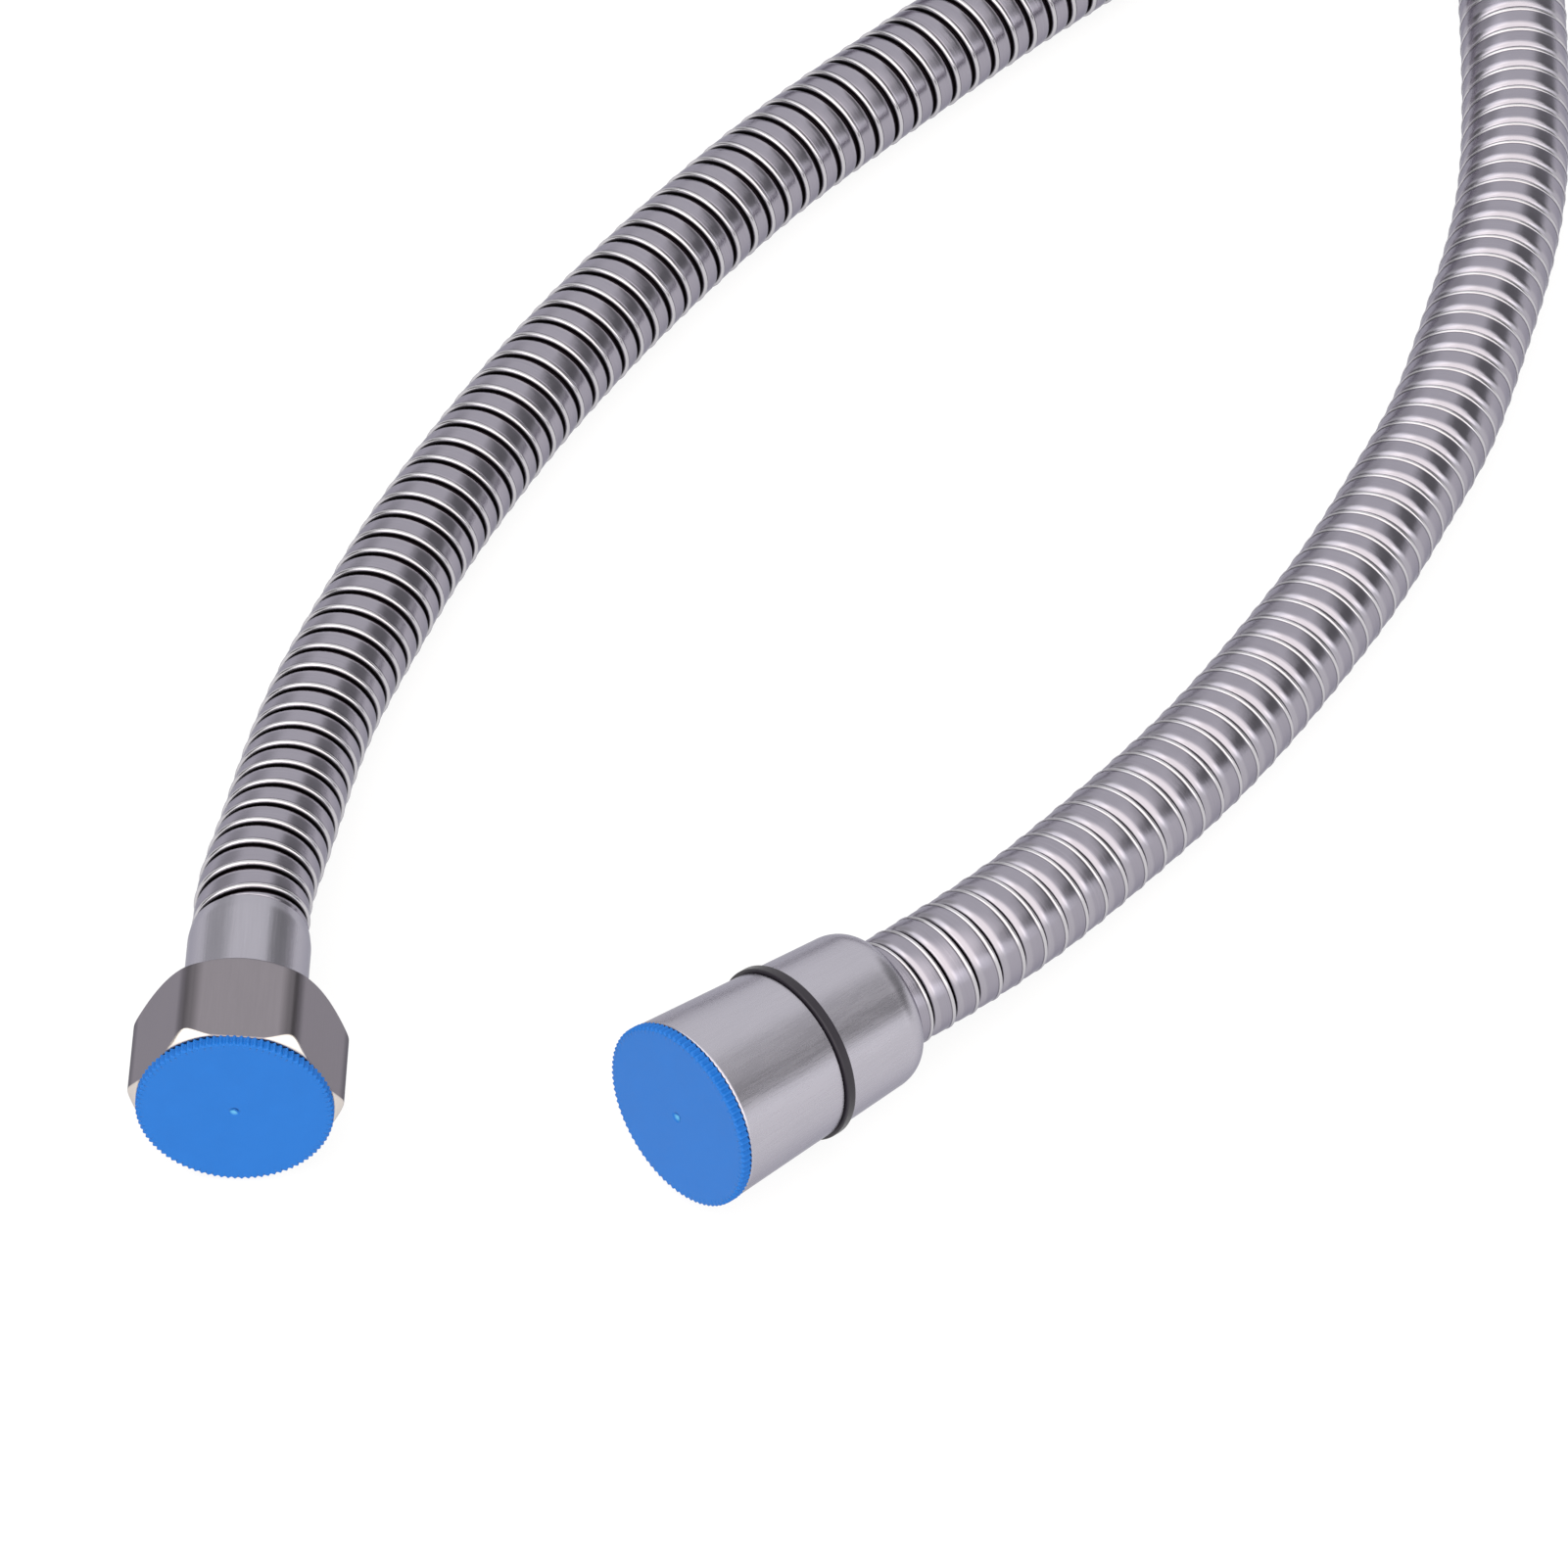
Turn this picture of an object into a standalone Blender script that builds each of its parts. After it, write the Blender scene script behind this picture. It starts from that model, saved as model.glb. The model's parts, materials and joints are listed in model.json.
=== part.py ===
"""Shower hose: a metal hose with a hexagon swivel nut at one end and a conical swivel nut at the
other, each closed by a push-in transport cap. The middle of the hose lies in a round coil.

Lengths are in metres and angles in degrees. Every fitting is modelled along its own axis: local +Z
points out of the nut's mouth and z = 0 is the mouth face. One empty then lays it on the floor.
"""

import math

import bmesh
import bpy
from mathutils import Vector

# Clearances
touch_gap = 0.0003        # between pieces that touch
swivel_gap = 0.0004       # between a nut's rear hole and the ferrule it turns on
band_gap = 0.0002         # round the band in its groove

# Hose
hose_diameter = 0.0150
outlet_straight = 0.0050  # length that leaves the ferrule in line with it
route_spacing = 0.030     # between the points of a plain hose tube
coil_radius = 0.0750      # to the middle of the turns
coil_centre = (0.0655, 0.3462)
coil_height = 0.0310      # two turns, one on the other

# G1/2 pipe thread inside both nuts
thread_major = 0.020955
thread_minor = 0.018631
thread_length = 0.0090
mouth_chamfer = 0.0005

# Seat behind the thread, and the barbed tail that it pulls against the washer
seat_length = 0.0034
tail_flange_thickness = 0.0018
waterway_diameter = 0.0072
shank_diameter = 0.0086
barb_diameter = 0.0096
barb_pitch = 0.0030
barb_count = 4
washer_thickness = 0.0020
washer_bore = 0.0104

# End of the inner tube, and the ferrule pressed over it
liner_wall = 0.0013
ferrule_wall = 0.00115
ferrule_length = 0.0168
ferrule_roll = 0.0022     # length of the rolled-in rear end
ferrule_roll_depth = 0.00025

# Hexagon nut
hex_across_flats = 0.0240
hex_web = 0.0022          # wall behind the seat
hex_front_ring = 0.02534  # diameter where the front chamfer meets the face
hex_rear_ring = 0.0219    # the same at the rear, where it also cuts the flats

# Conical nut
cone_front_diameter = 0.0246
cone_half_angle = 3.25
cone_length = 0.0340
cone_rear_round = 0.0032  # length of the rounding at the rear
cone_rear_land = 0.00015  # flat left between the rounding and the hole
rear_mouth_chamfer = 0.0004
band_centre = 0.0176      # behind the mouth
band_width = 0.0016
band_section = 0.0013     # radial thickness
band_proud = 0.0007       # how far it stands out of the cone

# Transport caps
cap_diameter = 0.0248
cap_flange = 0.0012
cap_teeth = 90
cap_tooth_depth = 0.00028
spigot_length = 0.0058
spigot_wall = 0.0013
spigot_tip_chamfer = 0.0006
gate_radius = 0.0009      # moulding mark in the middle of the face
gate_depth = 0.0005

# Where the two fittings lie: mouth centre, heading of the mouth, lift of the mouth, roll of the nut
hex_mouth = (-0.03683, -0.00846)
hex_heading = -91.4
hex_lift = 2.0
hex_roll = -3.5
round_mouth = (0.01927, -0.01086)
round_heading = -138.1
round_lift = 6.0

# Facets
fine_segments = 56
inner_segments = 28
coil_segments = 48

# The hose's way over the floor, from behind the hexagon end to the coil
hex_route = [
    (-0.0343, 0.0361, 0.0107),
    (-0.0315, 0.0510, 0.0092),
    (-0.0280, 0.0655, 0.0082),
    (-0.0230, 0.0795, 0.0077),
    (-0.0175, 0.0935, 0.0075),
    (-0.0110, 0.1070, 0.0075),
    (-0.0040, 0.1200, 0.0075),
    (0.0040, 0.1330, 0.0075),
    (0.0125, 0.1455, 0.0075),
    (0.0215, 0.1575, 0.0075),
    (0.0310, 0.1690, 0.0075),
    (0.0415, 0.1800, 0.0075),
    (0.0520, 0.1905, 0.0075),
    (0.0635, 0.2017, 0.0075),
    (0.0785, 0.2156, 0.0075),
    (0.0893, 0.2275, 0.0075),
    (0.0992, 0.2402, 0.0075),
    (0.1082, 0.2536, 0.0075),
    (0.1163, 0.2675, 0.0075),
    (0.1202, 0.2753, 0.0075),
]

# The same from behind the conical end, rising over the other run and onto the coil's second turn
round_route = [
    (0.0525, 0.0185, 0.0099),
    (0.0630, 0.0290, 0.0088),
    (0.0730, 0.0405, 0.0081),
    (0.0825, 0.0520, 0.0077),
    (0.0915, 0.0645, 0.0075),
    (0.0995, 0.0770, 0.0075),
    (0.1070, 0.0900, 0.0075),
    (0.1135, 0.1035, 0.0075),
    (0.1195, 0.1170, 0.0075),
    (0.1240, 0.1315, 0.0075),
    (0.1280, 0.1460, 0.0075),
    (0.1310, 0.1605, 0.0076),
    (0.1325, 0.1755, 0.0080),
    (0.1330, 0.1905, 0.0093),
    (0.1330, 0.2030, 0.0109),
    (0.1320, 0.2154, 0.0130),
    (0.1267, 0.2322, 0.0172),
    (0.1172, 0.2471, 0.0214),
    (0.1089, 0.2554, 0.0235),
    (0.0987, 0.2627, 0.0247),
]

# Sizes that follow from the ones above
liner_bore = barb_diameter + 2 * touch_gap
liner_diameter = liner_bore + 2 * liner_wall
ferrule_bore = liner_diameter + 2 * touch_gap
ferrule_diameter = ferrule_bore + 2 * ferrule_wall
swivel_bore = ferrule_diameter + 2 * swivel_gap
seat_depth = thread_length + seat_length
tail_front = -(seat_depth - touch_gap - tail_flange_thickness)
tail_rear = -(seat_depth - touch_gap)
washer_rear = tail_front + touch_gap
washer_front = washer_rear + washer_thickness
loose_diameter = thread_minor - 2 * touch_gap
ferrule_front = tail_rear - touch_gap
ferrule_rear = ferrule_front - ferrule_length
hex_length = seat_depth + hex_web
hex_corner = hex_across_flats / math.sqrt(3)
cap_back = touch_gap
cap_front = cap_back + cap_flange


def cone_radius(z):
    """Radius of the conical nut's outside at the depth z."""
    return cone_front_diameter / 2 + z * math.tan(math.radians(cone_half_angle))


def clear_scene():
    for obj in list(bpy.data.objects):
        bpy.data.objects.remove(obj, do_unlink=True)


def make_material(name, colour, roughness, metallic):
    material = bpy.data.materials.new(name)
    material.use_nodes = True
    shader = material.node_tree.nodes["Principled BSDF"]
    shader.inputs["Base Color"].default_value = (*colour, 1.0)
    shader.inputs["Roughness"].default_value = roughness
    shader.inputs["Metallic"].default_value = metallic
    return material


def place(name, mesh, material, parent=None):
    """Put a mesh into the scene as a named piece, smooth but for its edges."""
    mesh.materials.append(material)
    mesh.shade_smooth()
    mesh.set_sharp_from_angle(angle=math.radians(28))
    obj = bpy.data.objects.new(name, mesh)
    bpy.context.collection.objects.link(obj)
    obj.parent = parent
    return obj


def mesh_from(bm, name):
    bmesh.ops.recalc_face_normals(bm, faces=bm.faces)
    mesh = bpy.data.meshes.new(name)
    bm.to_mesh(mesh)
    bm.free()
    return mesh


def turned(name, profile, segments):
    """A turned ring: the closed (radius, z) outline spun once round the Z axis."""
    bm = bmesh.new()
    verts = [bm.verts.new((radius, 0.0, z)) for radius, z in profile]
    edges = [bm.edges.new((a, b)) for a, b in zip(verts, verts[1:] + verts[:1])]
    bmesh.ops.spin(
        bm,
        geom=verts + edges,
        cent=(0, 0, 0),
        axis=(0, 0, 1),
        angle=math.tau,
        steps=segments,
        use_merge=True,
    )
    bmesh.ops.remove_doubles(bm, verts=bm.verts, dist=1e-6)
    return mesh_from(bm, name)


def ring_of_points(bm, radii, z):
    """A loop of points round the axis, with one radius for each point."""
    turns = [math.tau * i / len(radii) for i in range(len(radii))]
    return [
        bm.verts.new((radius * math.cos(turn), radius * math.sin(turn), z))
        for radius, turn in zip(radii, turns)
    ]


def lofted(name, rings):
    """A closed skin over loops of points, each given as (radii, z), with a face on both ends.

    Of two neighbouring loops, one may have a whole multiple of the other's points.
    """
    bm = bmesh.new()
    loops = [ring_of_points(bm, radii, z) for radii, z in rings]
    for low, high in zip(loops, loops[1:]):
        strips = min(len(low), len(high))
        sides = []
        for loop in (low, high):
            per_strip = len(loop) // strips
            sides.append(
                [
                    [loop[(i * per_strip + k) % len(loop)] for k in range(per_strip + 1)]
                    for i in range(strips)
                ]
            )
        for low_side, high_side in zip(*sides):
            bm.faces.new(low_side + high_side[::-1])
    bm.faces.new(loops[0][::-1])
    bm.faces.new(loops[-1])
    return mesh_from(bm, name)


def arc(centre, radii, start, end, steps):
    """Points on an ellipse of the (radius, z) plane, from one angle to the other."""
    turns = [math.radians(start + (end - start) * i / steps) for i in range(steps + 1)]
    return [
        (centre[0] + radii[0] * math.cos(turn), centre[1] + radii[1] * math.sin(turn))
        for turn in turns
    ]


def threaded_bore():
    """Inside of a nut from its mouth to the seat, as (radius, z)."""
    major = thread_major / 2
    minor = thread_minor / 2
    runout = major - minor
    return [
        (major + mouth_chamfer, 0.0),
        (major, -mouth_chamfer),
        (major, -thread_length),
        (minor, -thread_length - runout),
        (minor, -seat_depth),
    ]


def swivel_hole(rear):
    """Hole behind the seat, through which the ferrule passes, as (radius, z)."""
    hole = swivel_bore / 2
    return [
        (hole, -seat_depth),
        (hole, rear + rear_mouth_chamfer),
        (hole + rear_mouth_chamfer, rear),
    ]


def add_hex_nut(axis, material):
    """Hexagon bar stock cut by a turned blank whose two cones chamfer the corners."""
    reach = 1.2 * hex_corner
    front = hex_front_ring / 2
    rear = hex_rear_ring / 2
    outside = [
        (rear, -hex_length),
        (reach, -hex_length + reach - rear),
        (reach, -(reach - front)),
        (front, 0.0),
    ]
    profile = outside + threaded_bore() + swivel_hole(-hex_length)
    nut = place("hex_nut", turned("hex_nut", profile, fine_segments), material, axis)
    nut.rotation_euler.z = math.radians(hex_roll)

    overlap = 0.002
    corners = [hex_corner] * 6
    bar_mesh = lofted(
        "hex_bar", [(corners, -hex_length - overlap), (corners, overlap)]
    )
    bar = place("hex_bar", bar_mesh, material, axis)
    bar.rotation_euler.z = math.radians(hex_roll)
    bar.hide_render = True
    bar.display_type = "WIRE"
    cut = nut.modifiers.new("hexagon", "BOOLEAN")
    cut.operation = "INTERSECT"
    cut.solver = "EXACT"
    cut.object = bar
    return nut


def add_round_nut(axis, material):
    """Conical nut with a groove for its band and a rounded rear end."""
    groove_rear = -band_centre - band_width / 2 - band_gap
    groove_front = -band_centre + band_width / 2 + band_gap
    groove_floor = cone_radius(-band_centre) + band_proud - band_section - band_gap
    rounding_end = -cone_length + cone_rear_round
    rear_edge = swivel_bore / 2 + rear_mouth_chamfer + cone_rear_land
    rounding = (cone_radius(rounding_end) - rear_edge, cone_rear_round)
    outside = [
        *arc((rear_edge, rounding_end), rounding, -90, 0, 6),
        (cone_radius(groove_rear), groove_rear),
        (groove_floor, groove_rear),
        (groove_floor, groove_front),
        (cone_radius(groove_front), groove_front),
        (cone_radius(0.0), 0.0),
    ]
    profile = outside + threaded_bore() + swivel_hole(-cone_length)
    mesh = turned("round_nut", profile, fine_segments)
    return place("round_nut", mesh, material, axis)


def add_band(axis, material):
    """Band of rectangular section with rounded outer edges, seated in the nut's groove."""
    outer = cone_radius(-band_centre) + band_proud
    inner = outer - band_section
    half = band_width / 2
    edge = 0.25 * band_width
    profile = [
        (inner, -band_centre - half),
        *arc((outer - edge, -band_centre - half + edge), (edge, edge), -90, 0, 2),
        *arc((outer - edge, -band_centre + half - edge), (edge, edge), 0, 90, 2),
        (inner, -band_centre + half),
    ]
    return place("nut_band", turned("nut_band", profile, fine_segments), material, axis)


def add_tail(name, axis, material):
    """Flanged tail with saw-tooth barbs, pressed into the inner tube."""
    shank = shank_diameter / 2
    barb = barb_diameter / 2
    bore = waterway_diameter / 2
    first_barb = ferrule_rear + barb_count * barb_pitch + barb_pitch
    outside = [(bore, ferrule_rear + barb_pitch), (shank, ferrule_rear + barb_pitch)]
    for i in range(barb_count):
        crest = first_barb - (barb_count - 1 - i) * barb_pitch
        outside.append((barb, crest - 0.15 * barb_pitch))
        outside.append((barb, crest))
        outside.append((shank, crest))
    outside += [
        (shank, tail_rear),
        (loose_diameter / 2, tail_rear),
        (loose_diameter / 2, tail_front),
        (bore + mouth_chamfer, tail_front),
        (bore, tail_front - mouth_chamfer),
    ]
    return place(name, turned(name, outside, inner_segments), material, axis)


def add_liner(name, axis, material):
    """End of the inner tube, stretched over the tail's barbs."""
    inner = liner_bore / 2
    outer = liner_diameter / 2
    front = ferrule_front
    profile = [(inner, ferrule_rear), (outer, ferrule_rear), (outer, front), (inner, front)]
    return place(name, turned(name, profile, inner_segments), material, axis)


def add_ferrule(name, axis, material):
    """Pressed sleeve that holds the hose on the tail, its rear end rolled in to a thin lip."""
    outer = ferrule_diameter / 2
    inner = ferrule_bore / 2
    lip = outer - ferrule_roll_depth
    chamfer = 0.3 * ferrule_wall
    profile = [
        (inner, ferrule_rear),
        (lip - chamfer, ferrule_rear),
        (lip, ferrule_rear + chamfer),
        (lip + 0.7 * ferrule_roll_depth, ferrule_rear + 0.5 * ferrule_roll),
        (outer, ferrule_rear + ferrule_roll),
        (outer, ferrule_front - chamfer),
        (outer - chamfer, ferrule_front),
        (inner, ferrule_front),
    ]
    return place(name, turned(name, profile, fine_segments), material, axis)


def add_washer(name, axis, material):
    """Flat sealing washer between the tail's flange and the tap."""
    outer = loose_diameter / 2
    inner = washer_bore / 2
    edge = 0.1 * washer_thickness
    profile = [
        (inner, washer_rear),
        (outer - edge, washer_rear),
        (outer, washer_rear + edge),
        (outer, washer_front - edge),
        (outer - edge, washer_front),
        (inner, washer_front),
    ]
    return place(name, turned(name, profile, inner_segments), material, axis)


def add_cap(name, axis, material):
    """Push-in cap: a flange with a toothed rim, a hollow spigot and a gate mark in the face."""
    rim = cap_diameter / 2
    spigot = loose_diameter / 2
    hollow = spigot - spigot_wall
    tip = cap_back - spigot_length
    toothed = [rim, rim - cap_tooth_depth] * cap_teeth
    rounded = [radius - 0.5 * cap_tooth_depth for radius in toothed]
    segments = 45

    def circle(radius):
        return [radius] * segments

    rings = [
        (circle(hollow), cap_back),
        (circle(hollow), tip),
        (circle(spigot - spigot_tip_chamfer), tip),
        (circle(spigot), tip + spigot_tip_chamfer),
        (circle(spigot), cap_back),
        (toothed, cap_back),
        (toothed, cap_front - 0.5 * cap_tooth_depth),
        (rounded, cap_front),
        (circle(gate_radius), cap_front),
        (circle(0.6 * gate_radius), cap_front - gate_depth),
    ]
    return place(name, lofted(name, rings), material, axis)


def hermite(p0, p1, m0, m1, t):
    """Point at t on the cubic from p0 to p1 with the end tangents m0 and m1."""
    t2 = t * t
    t3 = t2 * t
    return (
        (2 * t3 - 3 * t2 + 1) * p0
        + (t3 - 2 * t2 + t) * m0
        + (3 * t2 - 2 * t3) * p1
        + (t3 - t2) * m1
    )


def smooth_route(points, start_direction, steps=24):
    """A dense smooth curve through the points, with tangents from each point's neighbours."""
    last = len(points) - 1
    tangents = [start_direction.normalized()]
    for i in range(1, last + 1):
        tangents.append((points[min(i + 1, last)] - points[i - 1]).normalized())
    dense = [points[0]]
    for i in range(last):
        chord = (points[i + 1] - points[i]).length
        for k in range(1, steps + 1):
            dense.append(
                hermite(
                    points[i], points[i + 1], tangents[i] * chord, tangents[i + 1] * chord, k / steps
                )
            )
    return dense


def spaced_points(dense, spacing):
    """Points of a dense curve at equal distances, both ends kept."""
    total = sum((b - a).length for a, b in zip(dense, dense[1:]))
    count = max(2, round(total / spacing))
    step = total / count
    spaced = [dense[0]]
    travelled = 0.0
    for a, b in zip(dense, dense[1:]):
        length = (b - a).length
        while len(spaced) < count and travelled + length >= step * len(spaced):
            spaced.append(a.lerp(b, (step * len(spaced) - travelled) / length))
        travelled += length
    return spaced + [dense[-1]]


def add_hose_run(name, axis, route, material):
    """Plain tube along one uncoiled run, straight out of the ferrule and then along its route."""
    start = ferrule_rear - touch_gap
    outlet = axis.matrix_world @ Vector((0, 0, start))
    straight = axis.matrix_world @ Vector((0, 0, start - outlet_straight))
    dense = smooth_route([straight] + [Vector(point) for point in route], straight - outlet)
    points = [outlet] + spaced_points(dense, route_spacing)
    curve = bpy.data.curves.new(name, "CURVE")
    curve.dimensions = "3D"
    curve.bevel_depth = hose_diameter / 2
    curve.bevel_resolution = 4
    curve.use_fill_caps = True
    curve.resolution_u = 1
    curve.render_resolution_u = 0
    spline = curve.splines.new("POLY")
    spline.points.add(len(points) - 1)
    for target, point in zip(spline.points, points):
        target.co = (*point, 1.0)
    curve.materials.append(material)
    run = bpy.data.objects.new(name, curve)
    bpy.context.collection.objects.link(run)
    return run


def add_coil(material):
    """Outer shape of the coiled turns: a ring with an upright round-ended section."""
    half = hose_diameter / 2
    profile = [
        *arc((coil_radius, half), (half, half), 180, 360, 6),
        *arc((coil_radius, coil_height - half), (half, half), 0, 180, 6),
    ]
    coil = place("hose_coil", turned("hose_coil", profile, coil_segments), material)
    coil.location = (*coil_centre, 0.0)
    return coil


def lay_on_floor(name, mouth, heading, lift, supports):
    """Empty whose +Z is the fitting's axis, at the height where its lowest support meets z = 0."""
    tilt = math.radians(lift)
    height = max(radius * math.cos(tilt) - z * math.sin(tilt) for radius, z in supports)
    axis = bpy.data.objects.new(name, None)
    bpy.context.collection.objects.link(axis)
    axis.location = (*mouth, height)
    axis.rotation_euler = (math.radians(90 - lift), 0.0, math.radians(heading + 90))
    bpy.context.view_layer.update()
    return axis


def main():
    clear_scene()
    steel = make_material("brushed_steel", (0.38, 0.37, 0.39), 0.34, 1.0)
    hose_steel = make_material("hose_steel", (0.44, 0.42, 0.44), 0.28, 1.0)
    brass = make_material("brass", (0.72, 0.52, 0.24), 0.35, 1.0)
    plastic = make_material("blue_plastic", (0.05, 0.23, 0.69), 0.45, 0.0)
    rubber = make_material("black_rubber", (0.03, 0.03, 0.035), 0.55, 0.0)
    liner_rubber = make_material("liner_rubber", (0.10, 0.10, 0.10), 0.60, 0.0)

    # the lowest corner of the rolled hexagon, as far back as the rear chamfer leaves it whole
    low_corner = hex_corner * math.cos(math.radians(30 - abs(hex_roll)))
    corner_rear = -(hex_length - (hex_corner - hex_rear_ring / 2))
    hex_supports = [(cap_diameter / 2, cap_front), (low_corner, corner_rear)]
    band_outer = cone_radius(-band_centre) + band_proud
    round_rear = -cone_length + cone_rear_round
    round_supports = [
        (cap_diameter / 2, cap_front),
        (band_outer, -band_centre - band_width / 2),
        (cone_radius(round_rear), round_rear),
    ]
    hex_axis = lay_on_floor("hex_end_axis", hex_mouth, hex_heading, hex_lift, hex_supports)
    round_axis = lay_on_floor(
        "round_end_axis", round_mouth, round_heading, round_lift, round_supports
    )

    add_hex_nut(hex_axis, steel)
    add_round_nut(round_axis, steel)
    add_band(round_axis, rubber)
    for end, axis in (("hex_end", hex_axis), ("round_end", round_axis)):
        add_tail(end + "_tail", axis, brass)
        add_liner(end + "_liner", axis, liner_rubber)
        add_ferrule(end + "_ferrule", axis, steel)
        add_washer(end + "_washer", axis, rubber)
        add_cap(end + "_cap", axis, plastic)

    add_hose_run("hose_run_hex_end", hex_axis, hex_route, hose_steel)
    add_hose_run("hose_run_round_end", round_axis, round_route, hose_steel)
    add_coil(hose_steel)


main()
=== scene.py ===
import json
import math
import bmesh
import bpy
import numpy as np
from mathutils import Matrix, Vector


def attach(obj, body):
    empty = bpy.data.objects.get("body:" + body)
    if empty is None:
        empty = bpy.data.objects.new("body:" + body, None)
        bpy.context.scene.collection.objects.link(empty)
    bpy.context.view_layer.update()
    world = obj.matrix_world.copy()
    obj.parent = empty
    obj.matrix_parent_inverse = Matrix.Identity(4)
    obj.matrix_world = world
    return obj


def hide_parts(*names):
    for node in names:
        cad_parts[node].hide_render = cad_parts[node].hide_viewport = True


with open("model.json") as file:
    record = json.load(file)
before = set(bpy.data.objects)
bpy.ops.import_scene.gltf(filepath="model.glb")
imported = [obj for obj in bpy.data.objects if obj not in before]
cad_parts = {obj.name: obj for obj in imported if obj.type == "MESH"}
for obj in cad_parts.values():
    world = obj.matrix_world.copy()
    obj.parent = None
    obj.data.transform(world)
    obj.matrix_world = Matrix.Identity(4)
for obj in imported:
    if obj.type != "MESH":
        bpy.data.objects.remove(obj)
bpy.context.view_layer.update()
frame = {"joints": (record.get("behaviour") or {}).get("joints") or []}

# A metal shower hose with two swivel nuts and two push-in caps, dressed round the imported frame.
# The route and the finished meshes are in metres. Outlines of the fittings are in millimetres on
# their own axis: z = 0 is the mouth of the nut and +z points out of it.

milli = 0.001
joints = {joint["name"]: joint for joint in frame["joints"]}

# Camera

cameraPlace = {
    "target": (0.03147, 0.05804, 0.0), "tipDown": 46.8, "distance": 1.23372,
    "lens": 217.49, "sensor": 36.0,
}


def placeCamera(place):
    # looks along +Y, tipped down by the picture's angle, at the given distance from the target
    tip = math.radians(place["tipDown"])
    back = Vector((0.0, -math.cos(tip), math.sin(tip)))
    data = bpy.data.cameras.new("pictureCamera")
    data.lens = place["lens"]
    data.sensor_width = place["sensor"]
    data.clip_start = 0.05
    data.clip_end = 20.0
    camera = bpy.data.objects.new("pictureCamera", data)
    bpy.context.scene.collection.objects.link(camera)
    camera.location = Vector(place["target"]) + back * place["distance"]
    camera.rotation_euler = (math.radians(90.0) - tip, 0.0, 0.0)
    bpy.context.scene.camera = camera


placeCamera(cameraPlace)
print("camera placed")

# Shader sockets and paints


class Socket:
    # a number in a node tree; arithmetic on it adds Math nodes
    def __init__(self, paint, link):
        self.paint = paint
        self.link = link

    def maths(self, operation, first, second=None):
        values = {0: first} if second is None else {0: first, 1: second}
        return self.paint.node("ShaderNodeMath", {"operation": operation}, values)

    def __add__(self, other):
        return self.maths("ADD", self, other)

    def __radd__(self, other):
        return self.maths("ADD", other, self)

    def __sub__(self, other):
        return self.maths("SUBTRACT", self, other)

    def __rsub__(self, other):
        return self.maths("SUBTRACT", other, self)

    def __mul__(self, other):
        return self.maths("MULTIPLY", self, other)

    def __rmul__(self, other):
        return self.maths("MULTIPLY", other, self)

    def __truediv__(self, other):
        return self.maths("DIVIDE", self, other)

    def __pow__(self, other):
        return self.maths("POWER", self, other)

    def atLeast(self, other):
        return self.maths("MAXIMUM", self, other)


class Paint:
    # one node tree, and the few kinds of node that its surfaces are painted with
    def __init__(self, tree):
        self.tree = tree
        tree.nodes.clear()

    def node(self, kind, settings, values, out=0):
        made = self.tree.nodes.new(kind)
        for name, value in settings.items():
            if name == "stops":
                self.setStops(made.color_ramp, value)
            else:
                setattr(made, name, value)
        for key, value in values.items():
            if isinstance(value, Socket):
                self.tree.links.new(value.link, made.inputs[key])
            else:
                made.inputs[key].default_value = value
        return Socket(self, made.outputs[out]) if made.outputs else None

    def setStops(self, ramp, stops):
        while len(ramp.elements) < len(stops):
            ramp.elements.new(1.0)
        for element, (position, level) in zip(ramp.elements, stops):
            element.position = position
            element.color = (level, level, level, 1.0)

    def mix(self, factor, first, second):
        return self.node("ShaderNodeMix", {"data_type": "RGBA"}, {0: factor, 6: first, 7: second}, 2)

    def stretch(self, vector, scale):
        return self.node("ShaderNodeVectorMath", {"operation": "MULTIPLY"}, {0: vector, 1: scale})

    def noise(self, vector, scale, detail=3.0, roughness=0.55):
        values = {"Vector": vector, "Scale": scale, "Detail": detail, "Roughness": roughness}
        return self.node("ShaderNodeTexNoise", {}, values)

    def ramp(self, value, *stops):
        return self.node("ShaderNodeValToRGB", {"stops": stops}, {0: value})

    def attribute(self, name):
        return self.node("ShaderNodeAttribute", {"attribute_name": name}, {}, 1)

    def parts(self, vector):
        made = self.node("ShaderNodeSeparateXYZ", {}, {0: vector})
        return [Socket(self, output) for output in made.link.node.outputs]

    def bump(self, height, strength, distance):
        return self.node("ShaderNodeBump", {}, {"Height": height, "Strength": strength, "Distance": distance})

    def surface(self, values):
        shader = self.node("ShaderNodeBsdfPrincipled", {}, values)
        self.node("ShaderNodeOutputMaterial", {}, {0: shader})


def newPaint(name):
    material = bpy.data.materials.new(name)
    material.use_nodes = True
    return material, Paint(material.node_tree)


# Finishes

# what is left of a metal's reflection near its silhouettes
edgeTint = (0.55, 0.55, 0.60, 1.0)
hoseFinish = {
    "band": (0.385, 0.366, 0.422, 1.0), "bandDark": (0.255, 0.238, 0.278, 1.0),
    # the lip's painted highlight colour, and the near-black of the painted shade in the crease and the gap
    "lip": (0.53, 0.515, 0.54, 1.0), "recessShade": (0.014, 0.009, 0.012, 1.0),
    # the crease's painted shade and the painted highlight on the band's falling end, as shares of their
    # colours
    "roughness": 0.17, "streaks": 0.10, "creaseShare": 0.75, "endHighlightShare": 0.22,
    # how often each noise repeats across the strip and, for each metre, along it
    "streakGrid": (42.0, 26.0, 1.0), "patchGrid": (0.6, 30.0, 1.0), "speckGrid": (26.0, 1400.0, 1.0),
    # where these begin and end, on the strip's own scale from 0 at the lip to 1 at the band's end
    "nose": 0.006, "lipEnd": 0.175, "crease": 0.188, "creaseWidth": 0.020,
    # where the painted highlight on the band's falling end and the painted shade over the gap begin
    "endHighlightStart": 0.66, "gapStart": 0.90,
}


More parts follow.
